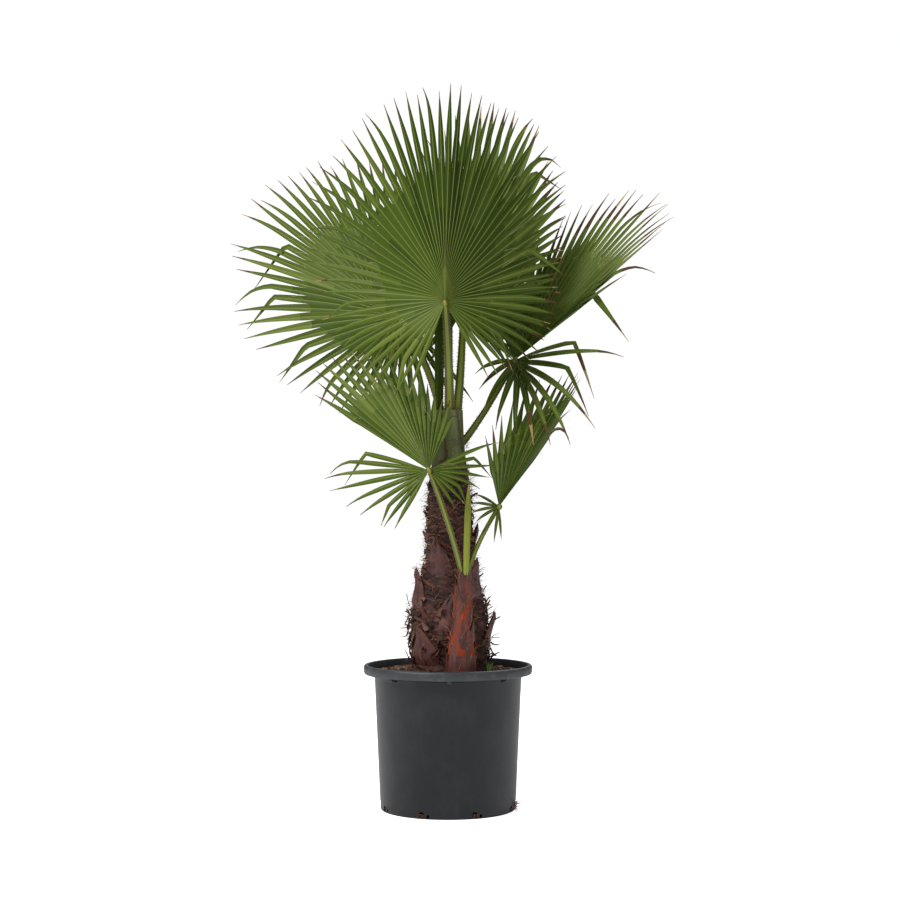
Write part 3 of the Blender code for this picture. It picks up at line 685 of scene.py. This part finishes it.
add_piece("side_shoot_sheaths", bm, [rust, orange, fibre_brown, fibre_tan], ["side_shoot"], 50)


# Crown sheath. The living leaf bases, packed round the growing point in a green column. Each is a
# swollen strap with a dull bloom on it, and purple-brown margins where it leaves its neighbours.
SHEATH_TOP = 0.945
SHEATH_SPANS = 24
NECK_THREADS = 170
stalk_green = plain_finish("stalk_green", (0.190, 0.215, 0.028), 0.42, 0.2)
stalk_dark = plain_finish("stalk_dark", (0.060, 0.085, 0.014), 0.42, 0.3)
stalk_margin = plain_finish("stalk_margin", (0.215, 0.070, 0.026), 0.5)
tooth_tan = plain_finish("tooth_tan", (0.34, 0.17, 0.055), 0.5)
sheath_green = mottled_finish(
    "sheath_green", (0.050, 0.070, 0.012), (0.120, 0.140, 0.040), 0.50,
    (1.0, 1.0, 0.2), 40.0, 0.40, 0.75, 0.001
)
sheath_brown = mottled_finish(
    "sheath_brown", (0.050, 0.022, 0.014), (0.120, 0.062, 0.030), 0.65,
    (1.0, 1.0, 0.2), 60.0, 0.40, 0.70, 0.002
)
bm = bmesh.new()
rings = []
sheath_foot = TRUNK_TOP + 0.0003
for row in range(SHEATH_SPANS + 1):
    part = row / SHEATH_SPANS
    radius = 0.034 + 0.009 * exp(-3.0 * part)
    centre = Vector((TRUNK_AXIS_X * (1 - part), 0, sheath_foot + (SHEATH_TOP - sheath_foot) * part))

    def lobes(turn, row, part=part):
        groove = abs(sin(2.5 * turn + 0.9 + 1.2 * part))
        return 0.02 - 0.16 * (1 - groove) ** 4 * (0.3 + 0.7 * part)

    rings.append((centre, Vector((0, 0, 1)), radius, radius, lobes))


def sheath_shade(turn, row):
    groove = abs(sin(2.5 * turn + 0.9 + 1.2 * row / SHEATH_SPANS))
    return 1 if groove < 0.20 or row < 3 + 2 * sin(turn * 3) else 0


make_loft(bm, rings, 80, sheath_shade)
for _ in range(NECK_THREADS):
    angle, height = chance.uniform(0, 2 * pi), chance.uniform(sheath_foot - 0.02, sheath_foot + 0.075)
    out = outward(angle)
    start = Vector((TRUNK_AXIS_X, 0, height)) + out * 0.043
    heading = out * 0.4 + sideways(out) * chance.choice((-1, 1))
    heading += Vector((0, 0, chance.uniform(-0.5, 1)))
    add_curl(bm, start, heading, chance.uniform(0.015, 0.045), 0.0005, chance.choice((2, 2, 3)), 1.0, 0.4)
finishes = [sheath_green, sheath_brown, fibre_dark, fibre_brown]
add_piece("crown_leaf_bases", bm, finishes, ["crown_sheath"], 50)


# Fronds. Each has a toothed stalk and a pleated fan of segments that are joined for half their
# length and free beyond, with dry brown tips and loose pale threads between them.

# A row of values runs evenly across a fan from edge to edge. Turn is a ray's angle from upright,
# clockwise seen from the front, and lean its angle away from the front. Tone picks the green, and
# holds painted shade as well as the frond's own green: the front fan's dark middle is painted shade
# on its underside. Dead is the dry share of a tip, and a kink is its place across, its part of the
# ray and its fall.
FRONDS = {
    "front_frond": {
        "foot": (0.003, -0.019, SHEATH_TOP),
        "bend": (0.004, -0.040, 1.050),
        "hub": (-0.007, -0.130, 1.187),
        "stalk": (0.012, 0.0075),
        "upper": -1,
    },
    "left_frond": {
        "foot": (-0.018, 0.017, SHEATH_TOP),
        "bend": (-0.040, 0.060, 1.040),
        "hub": (-0.107, 0.120, 1.170),
        "stalk": (0.010, 0.007),
    },
    "back_right_frond": {
        "foot": (0.022, 0.002, SHEATH_TOP),
        "bend": (0.034, 0.004, 1.070),
        "hub": (0.036, 0.020, 1.187),
        "stalk": (0.011, 0.007),
    },
    "right_frond": {
        "foot": (0.030, 0.006, 0.862),
        "bend": (0.085, 0.030, 0.930),
        "hub": (0.163, 0.100, 1.071),
        "stalk": (0.009, 0.006),
    },
    "back_frond": {
        "foot": (0.002, 0.032, 0.885),
        "bend": (0.004, 0.205, 0.945),
        "hub": (0.005, 0.240, 1.185),
        "stalk": (0.010, 0.007),
    },
    "shoot_left_frond": {
        "foot": (0.033, -0.121, 0.560),
        "bend": (0.004, -0.150, 0.680),
        "hub": (-0.043, -0.200, 0.801),
        "stalk": (0.0065, 0.005),
    },
    "shoot_right_frond": {
        "foot": (0.045, -0.119, 0.560),
        "bend": (0.062, -0.116, 0.630),
        "hub": (0.118, -0.120, 0.717),
        "stalk": (0.0055, 0.0045),
    },
}
FANS = {
    ("front_frond", "blade"): {
        "costa": 0.060,
        "segments": 62,
        "joined": 0.52,
        "split": (0.45, 0.80, 1.0, 1.05, 1.0, 0.80, 0.45),
        "width": 0.0085,
        "turn": (-160, -88, -37, 0, 33, 79, 150),
        "lean": (-5, 24, 4, -10, 4, 22, 4),
        "reach": (0.225, 0.335, 0.455, 0.485, 0.450, 0.300, 0.195),
        "sag": (0.25, 0.12, 0.05, 0.03, 0.05, 0.12, 0.30),
        "dead": (0.02, 0.06),
        # The dark middle of this tone row is painted shade on the fan's underside.
        "tone": (2.4, 2.2, 1.4, 0.3, 0.9, 1.6, 2.0),
        "kinks": ((-0.93, 0.62, 1.6), (0.86, 0.60, 1.8), (0.52, 0.70, 1.0)),
    },
    ("left_frond", "blade"): {
        "costa": 0.050,
        "segments": 58,
        "joined": 0.52,
        "split": (0.45, 0.75, 1.0, 1.05, 1.0, 0.85, 0.60),
        "width": 0.0085,
        "turn": (-228, -142, -84, -48, -14, 30, 75),
        "lean": (4, 10, 17, 18, 14, 14, 18),
        "reach": (0.265, 0.290, 0.455, 0.525, 0.445, 0.350, 0.235),
        "sag": (0.20, 0.20, 0.15, 0.08, 0.06, 0.05, 0.05),
        "dead": (0.02, 0.08),
        "tone": (1.0, 1.8, 2.4, 2.4, 1.8, 1.2, 0.8),
        "kinks": (
            (-0.08, 0.68, 1.5), (-0.30, 0.74, 1.2), (-0.47, 0.66, 0.9),
            (0.66, 0.70, 1.2), (-0.80, 0.55, 1.4),
        ),
    },
    ("back_right_frond", "blade"): {
        "costa": 0.050,
        "segments": 54,
        "joined": 0.60,
        "split": (0.50, 0.80, 1.0, 1.05, 1.0, 0.80, 0.50),
        "width": 0.009,
        "turn": (-150, -68, -22, 13, 38, 72, 140),
        "lean": (8, 8, 9, 12, 12, 12, 12),
        "reach": (0.155, 0.255, 0.395, 0.540, 0.400, 0.255, 0.185),
        "sag": (0.20, 0.10, 0.05, 0.02, 0.04, 0.15, 0.40),
        "dead": (0.03, 0.12),
        "tone": (1.0, 1.5, 2.0, 2.4, 2.2, 1.6, 1.0),
        "kinks": ((0.62, 0.66, 1.3), (0.22, 0.84, 1.1), (-0.70, 0.60, 1.5)),
    },
    ("right_frond", "blade"): {
        "costa": 0.050,
        "segments": 26,
        "joined": 0.54,
        "split": (0.80, 0.95, 1.0, 1.05, 1.0, 1.0, 1.0),
        "width": 0.007,
        "turn": (-25, 10, 23, 34, 42, 47, 51),
        "lean": (35, 25, 14, 8, 2, -6, -14),
        "reach": (0.265, 0.375, 0.450, 0.520, 0.545, 0.490, 0.320),
        "sag": (0.10, 0.05, 0.02, 0.02, 0.04, 0.06, 0.10),
        "dead": (0.08, 0.22),
        "tone": (1.6, 2.4, 3.0, 3.0, 3.0, 2.8, 2.4),
        "kinks": ((0.92, 0.62, 1.6), (-0.60, 0.75, 1.0)),
    },
    ("right_frond", "skirt"): {
        "costa": 0.050,
        "segments": 12,
        "joined": 0.10,
        "width": 0.009,
        "turn": (66, 86, 125, 160, 195, 235, 272),
        "lean": (-15, -25, -45, -45, -40, -50, -55),
        "reach": (0.320, 0.270, 0.315, 0.275, 0.240, 0.190, 0.180),
        "sag": (0.50, 0.35, 1.00, 0.80, 0.50, 0.60, 0.30),
        "dead": (0.05, 0.40),
        "tone": (2.4, 1.8, 2.8, 1.6, 1.0, 0.8, 0.8),
        "kinks": ((-0.95, 0.47, 2.6), (-0.55, 0.50, 1.6), (0.30, 0.55, 1.5)),
    },
    ("back_frond", "blade"): {
        "costa": 0.050,
        "segments": 46,
        "joined": 0.56,
        "split": (0.60, 0.90, 1.0, 1.0, 1.0, 0.90, 0.60),
        "width": 0.0085,
        "turn": (-118, -76, -36, 0, 36, 76, 118),
        "lean": (30, 40, 48, 52, 48, 40, 30),
        "reach": (0.200, 0.290, 0.400, 0.440, 0.400, 0.290, 0.200),
        "sag": (0.20, 0.15, 0.12, 0.10, 0.12, 0.15, 0.20),
        "dead": (0.03, 0.12),
        "tone": (1.4, 1.6, 1.8, 1.8, 1.8, 1.6, 1.4),
    },
    ("shoot_left_frond", "blade"): {
        "costa": 0.030,
        "segments": 18,
        "joined": 0.60,
        "split": (1.0, 1.0, 1.05, 1.0, 0.9, 0.7),
        "width": 0.007,
        "turn": (-57, -44, -30, -14, 4, 24),
        "lean": (18, 24, 28, 30, 32, 32),
        "reach": (0.325, 0.395, 0.380, 0.310, 0.225, 0.190),
        "sag": (0.05, 0.04, 0.04, 0.05, 0.08, 0.15),
        "dead": (0.03, 0.10),
        "tone": (2.0, 2.4, 2.4, 2.0, 1.6, 1.4),
    },
    ("shoot_left_frond", "left_skirt"): {
        "segments": 9,
        "joined": 0.16,
        "width": 0.0085,
        "turn": (-70, -95, -125, -152),
        "lean": (8, 4, -4, -12),
        "reach": (0.245, 0.235, 0.180, 0.155),
        "sag": (0.10, 0.10, 0.15, 0.20),
        "dead": (0.02, 0.10),
        "tone": (2.4, 2.2, 2.0, 1.8),
        "kinks": ((-0.80, 0.60, 1.6), (0.35, 0.70, 1.2)),
    },
    ("shoot_left_frond", "right_skirt"): {
        "segments": 8,
        "joined": 0.16,
        "width": 0.007,
        "turn": (60, 85, 115, 150),
        "lean": (15, 8, -2, -14),
        "reach": (0.190, 0.150, 0.120, 0.110),
        "sag": (0.10, 0.15, 0.20, 0.20),
        "dead": (0.02, 0.10),
        "tone": (1.6, 1.4, 1.2, 1.0),
        "kinks": ((-0.70, 0.62, 1.2), (0.40, 0.60, 1.4)),
    },
    ("shoot_right_frond", "blade"): {
        "costa": 0.030,
        "segments": 19,
        "joined": 0.62,
        "split": (0.6, 0.8, 0.95, 1.0, 1.05, 1.05, 1.0),
        "width": 0.006,
        "turn": (-13, 6, 22, 31, 34, 36, 38),
        "lean": (22, 28, 32, 34, 40, 48, 58),
        "reach": (0.175, 0.275, 0.405, 0.455, 0.490, 0.475, 0.415),
        "sag": (0.05, 0.03, 0.03, 0.02, 0.02, 0.03, 0.05),
        "dead": (0.05, 0.16),
        "tone": (1.6, 1.8, 2.0, 2.2, 2.2, 2.0, 1.6),
    },
    ("shoot_right_frond", "skirt"): {
        "segments": 7,
        "joined": 0.16,
        "width": 0.005,
        "turn": (-46, -80, -115, -165, -190),
        "lean": (-20, -35, -40, -35, -25),
        "reach": (0.070, 0.085, 0.085, 0.100, 0.080),
        "sag": (0.30, 0.30, 0.30, 0.20, 0.20),
        "dead": (0.05, 0.20),
        "tone": (1.0, 1.2, 1.4, 1.6, 1.6),
    },
}
BLADE_GREENS = (
    (0.017, 0.031, 0.0030),
    (0.028, 0.050, 0.0048),
    (0.044, 0.072, 0.0080),
    (0.068, 0.100, 0.0135),
    (0.105, 0.140, 0.0240),
)
blade_greens = []
for index, tone in enumerate(BLADE_GREENS):
    blade_greens.append(plain_finish("blade_green_{}".format(index), tone, 0.46, 0.07))
blade_rib = plain_finish("blade_rib", (0.115, 0.140, 0.022), 0.45, 0.2)
tip_brown = plain_finish("tip_brown", (0.075, 0.042, 0.016), 0.8, 0.1)
tip_tan = plain_finish("tip_tan", (0.27, 0.18, 0.080), 0.8, 0.1)
thread_pale = plain_finish("thread_pale", (0.45, 0.36, 0.24), 0.7)
FOLD_SLOPE = 0.60
BLADE_START = 0.0070
PATH_STEPS = 16
RIB_HALF_WIDTH = 0.0009
RIB, BROWN_TIP, TAN_TIP, THREAD = 5, 6, 7, 8
FUSED_SPANS, FREE_SPANS = 6, 11
STALK_SPANS, STALK_SIDES = 30, 18
KNOB_RADIUS = 0.0076
TOOTH_PITCH = 0.0085


def curve_point(foot, bend, tip, part):
    """Point on the quadratic curve from foot past bend to tip."""
    foot, bend, tip = Vector(foot), Vector(bend), Vector(tip)
    return foot * (1 - part) ** 2 + bend * 2 * part * (1 - part) + tip * part**2


def stalk_shade(turn, row):
    """Margins are at the two ends of the flattened section."""
    side = abs(cos(turn))
    return 2 if side > 0.93 else (1 if side > 0.62 else 0)


def make_stalk(name, frond, size_end=0.65):
    """Flattened stalk with a channel on its upper side, a row of teeth on each margin and a knob."""
    width, depth = frond["stalk"]
    foot, bend, hub = frond["foot"], frond["bend"], frond["hub"]
    bm = bmesh.new()
    rings = []
    for index in range(STALK_SPANS + 1):
        part = index / STALK_SPANS
        centre = curve_point(foot, bend, hub, part)
        axis = (curve_point(foot, bend, hub, part + 0.02) - centre).normalized()
        taper = 1 - (1 - size_end) * part

        def channel(turn, row):
            return -0.28 * max(0.0, -sin(turn)) ** 3

        rings.append((centre, axis, width * taper, depth * taper, channel))
    end = (Vector(hub) - Vector(bend)).normalized()
    for angle in (-50, -20, 10, 40, 70, 85):
        lift, radius = KNOB_RADIUS * sin(radians(angle)), KNOB_RADIUS * cos(radians(angle))
        rings.append((Vector(hub) + end * lift, end, radius, radius, lambda turn, row: 0.0))
    del rings[STALK_SPANS]
    make_loft(bm, rings, STALK_SIDES, stalk_shade)
    teeth = int((Vector(hub) - Vector(foot)).length / TOOTH_PITCH)
    for tooth in range(teeth):
        for side in (-1, 1):
            part = (tooth + chance.uniform(0.2, 0.8)) / teeth * 0.93
            centre = curve_point(foot, bend, hub, part)
            axis = (curve_point(foot, bend, hub, part + 0.02) - centre).normalized()
            across = (Vector((1, 0, 0)) - axis * axis.x).normalized() * side
            edge = centre + across * (width * (1 - (1 - size_end) * part) - 0.0008)
            long = chance.uniform(0.0022, 0.0048) * width / 0.012
            tip = edge + across * long + axis * long * chance.choice((-0.7, 0.7))
            add_strand(bm, [edge, edge + across * long * 0.6 + axis * long * 0.1, tip], 0.0011, 3, 4, 0.9)
    finishes = [stalk_green, stalk_dark, stalk_margin, tooth_tan]
    add_piece(name + "_toothed", bm, finishes, [name], 50)


def ray_direction(fan, across):
    turn = radians(between(fan["turn"], across))
    lean = radians(between(fan["lean"], across))
    return Vector((sin(turn) * cos(lean), sin(lean), cos(turn) * cos(lean)))


def ray_points(frond, fan, across, rows, stretch=1.0, extra=0.0, kink=None):
    """Points along one ray of a fan, at each of the given parts of its length."""
    hub = Vector(frond["hub"])
    heading = ray_direction(fan, across)
    shift = fan.get("costa", 0.0) * (1 - abs(across)) ** 2
    middle = ray_direction(fan, 0.0)
    sag = between(fan["sag"], across)
    length = between(fan["reach"], across) * stretch - shift - BLADE_START
    step = length / PATH_STEPS
    point = hub + middle * shift + heading * BLADE_START
    path = [point]
    for index in range(PATH_STEPS):
        along = (index + 0.5) / PATH_STEPS
        fall = sag * along**1.5 + extra * max(0.0, along - 0.72) * 4
        if kink and along > kink[1]:
            fall += kink[2]
        point = point + (heading - Vector((0, 0, fall))).normalized() * step
        path.append(point)
    points = []
    for part in rows:
        place = part * PATH_STEPS
        index = min(int(place), PATH_STEPS - 1)
        points.append(path[index].lerp(path[index + 1], place - index))
    points[0] = hub + heading * BLADE_START
    return points


def make_fan(name, frond, fan, node):
    """Pleated sheet: each segment is two halves that meet in a pale rib."""
    segments = fan["segments"]
    split = FUSED_SPANS + 1

    def places(across):
        joined = fan["joined"] * between(fan.get("split", (1.0, 1.0)), across)
        closed = [0.0, 0.045] + [joined * k / FUSED_SPANS for k in range(1, FUSED_SPANS + 1)]
        free = [joined + (1 - joined) * k / FREE_SPANS for k in range(1, FREE_SPANS + 1)]
        return joined, closed + free

    step = 1 / segments
    bm = bmesh.new()
    margins = []
    for line in range(segments + 1):
        across = -1 + 2 * line * step
        joined, rows = places(across)
        points = ray_points(frond, fan, across, rows[: split + 2])
        before = ray_points(frond, fan, across - step, rows[: split + 2])
        after = ray_points(frond, fan, across + step, rows[: split + 2])
        raised = []
        for row in range(split + 1):
            side = after[row] - before[row]
            along = points[row + 1] - points[row]
            normal = side.cross(along).normalized() * frond.get("upper", 1)
            rise = 0.25 * FOLD_SLOPE * side.length if row else 0.0
            raised.append(bm.verts.new(points[row] + normal * rise))
        margins.append(raised)
    for segment in range(segments):
        across = -1 + (2 * segment + 1) * step
        joined, rows = places(across)
        change = split + chance.choice((-2, -1, 0, 0, 1, 2))
        stretch = 1 + chance.uniform(-0.035, 0.02)
        droop = chance.uniform(-0.1, 0.25) + (chance.uniform(0.5, 1.1) if chance.random() < 0.10 else 0.0)
        dead = chance.uniform(*fan["dead"])
        # The tone rows carry painted shade as well as each frond's own green.
        tone = between(fan["tone"], across) + chance.uniform(-0.45, 0.45)
        # Past the change row a segment is painted lighter: painted light shining through the free part,
        # which leaves the joined disc darker.
        free_tone_painted_backlight = tone + chance.uniform(0.3, 1.2)
        kinks = [kink for kink in fan.get("kinks", ()) if abs(kink[0] - across) <= step]
        kink = kinks[0] if kinks else None
        points = ray_points(frond, fan, across, rows, stretch, droop, kink)
        before = ray_points(frond, fan, across - step, rows, stretch, droop, kink)
        after = ray_points(frond, fan, across + step, rows, stretch, droop, kink)
        half_pitch = (after[split] - before[split]).length / 2
        lower = None
        for row, part_of_ray in enumerate(rows):
            side = after[row] - before[row]
            ahead = points[min(row + 1, len(rows) - 1)] - points[max(row - 1, 0)]
            ahead = ahead.normalized()
            side = (side - ahead * side.dot(ahead)).normalized()
            normal = side.cross(ahead).normalized() * frond.get("upper", 1)
            if row <= split:
                pitch = (after[row] - before[row]).length
                sink = 0.25 * FOLD_SLOPE * pitch if row else 0.0
                left, right = margins[segment][row], margins[segment + 1][row]
                rib_half = min(RIB_HALF_WIDTH, pitch * 0.12)
            else:
                part = (part_of_ray - joined) / (1 - joined)
                rest = 1 - part
                bulge = 3 * fan["width"] * rest**2 * part + 1.8 * fan["width"] * rest * part**2
                width = max(half_pitch * rest**3 + bulge, 0.0006)
                sink = FOLD_SLOPE * width / 2
                left = bm.verts.new(points[row] - side * width + normal * sink)
                right = bm.verts.new(points[row] + side * width + normal * sink)
                rib_half = RIB_HALF_WIDTH * rest + 0.0002
            rib_left = bm.verts.new(points[row] - side * rib_half - normal * sink)
            rib_right = bm.verts.new(points[row] + side * rib_half - normal * sink)
            upper = (left, rib_left, rib_right, right)
            if lower:
                withered = part_of_ray > 1 - dead
                for column in range(3):
                    corners = (lower[column], upper[column], upper[column + 1], lower[column + 1])
                    face = bm.faces.new(corners)
                    if withered:
                        tan = part_of_ray > 1 - dead * 0.45 and segment % 3 == 0
                        face.material_index = TAN_TIP if tan else BROWN_TIP
                    elif column == 1 or (row == 1 and abs(across) < 0.10):
                        face.material_index = RIB
                    else:
                        # Rows past the change take the lighter tone of the painted backlight.
                        local = free_tone_painted_backlight if row > change else tone
                        face.material_index = min(max(round(local), 0), len(blade_greens) - 1)
            lower = upper
    for line in range(1, segments):
        if chance.random() < 0.45:
            start = margins[line][split].co.copy()
            out = (start - Vector(frond["hub"])).normalized()
            add_curl(bm, start, out, chance.uniform(0.02, 0.10), 0.00035, THREAD, 1.1, 0.7, 6)
    finishes = [*blade_greens, blade_rib, tip_brown, tip_tan, thread_pale]
    add_piece(name, bm, finishes, [node], 80)


for frond_name, frond in FRONDS.items():
    make_stalk(frond_name + "_stalk", frond, 0.90 if frond_name.startswith("shoot") else 0.65)
    for (owner, fan_name), fan in FANS.items():
        if owner == frond_name:
            node = "{}_{}".format(frond_name, fan_name)
            make_fan(node + "_segments", frond, fan, node)


# Leaves with no blade. A closed spear rises from the crown's middle, its segments still folded
# together, and a cut stalk with a slanting end stands between the side shoot's two fronds.
LEAFLESS_SPANS = 32


def make_leafless(name, foot, bend, tip, widths, depth_share, finishes, node):
    """Tapering stem of folded pleats, with a dry end."""
    bm = bmesh.new()
    rings = []
    for row in range(LEAFLESS_SPANS + 1):
        part = row / LEAFLESS_SPANS
        centre = curve_point(foot, bend, tip, part)
        axis = (centre - curve_point(foot, bend, tip, part - 0.02)).normalized()
        width = max(between(widths, 2 * part - 1), 0.0008)

        def pleats(turn, row):
            return 0.10 * cos(7 * turn)

        rings.append((centre, axis, width, width * depth_share, pleats))
    make_loft(bm, rings, 28, lambda turn, row: 1 if row > LEAFLESS_SPANS - 3 else 0)
    add_piece(name, bm, finishes, [node], 60)


make_leafless(
    "spear_leaf_folded", (-0.022, -0.003, SHEATH_TOP), (-0.021, -0.020, 1.150), (-0.012, -0.045, 1.500),
    (0.0095, 0.0105, 0.0115, 0.0085, 0.002), 0.85, [blade_greens[1], tip_brown], "spear_leaf"
)
make_leafless(
    "cut_stalk_end", (0.0415, -0.131, 0.560), (0.0430, -0.136, 0.660), (0.0480, -0.140, 0.768),
    (0.0060, 0.0070, 0.0072, 0.0068, 0.0015), 0.6, [stalk_green, tip_tan], "cut_stalk"
)
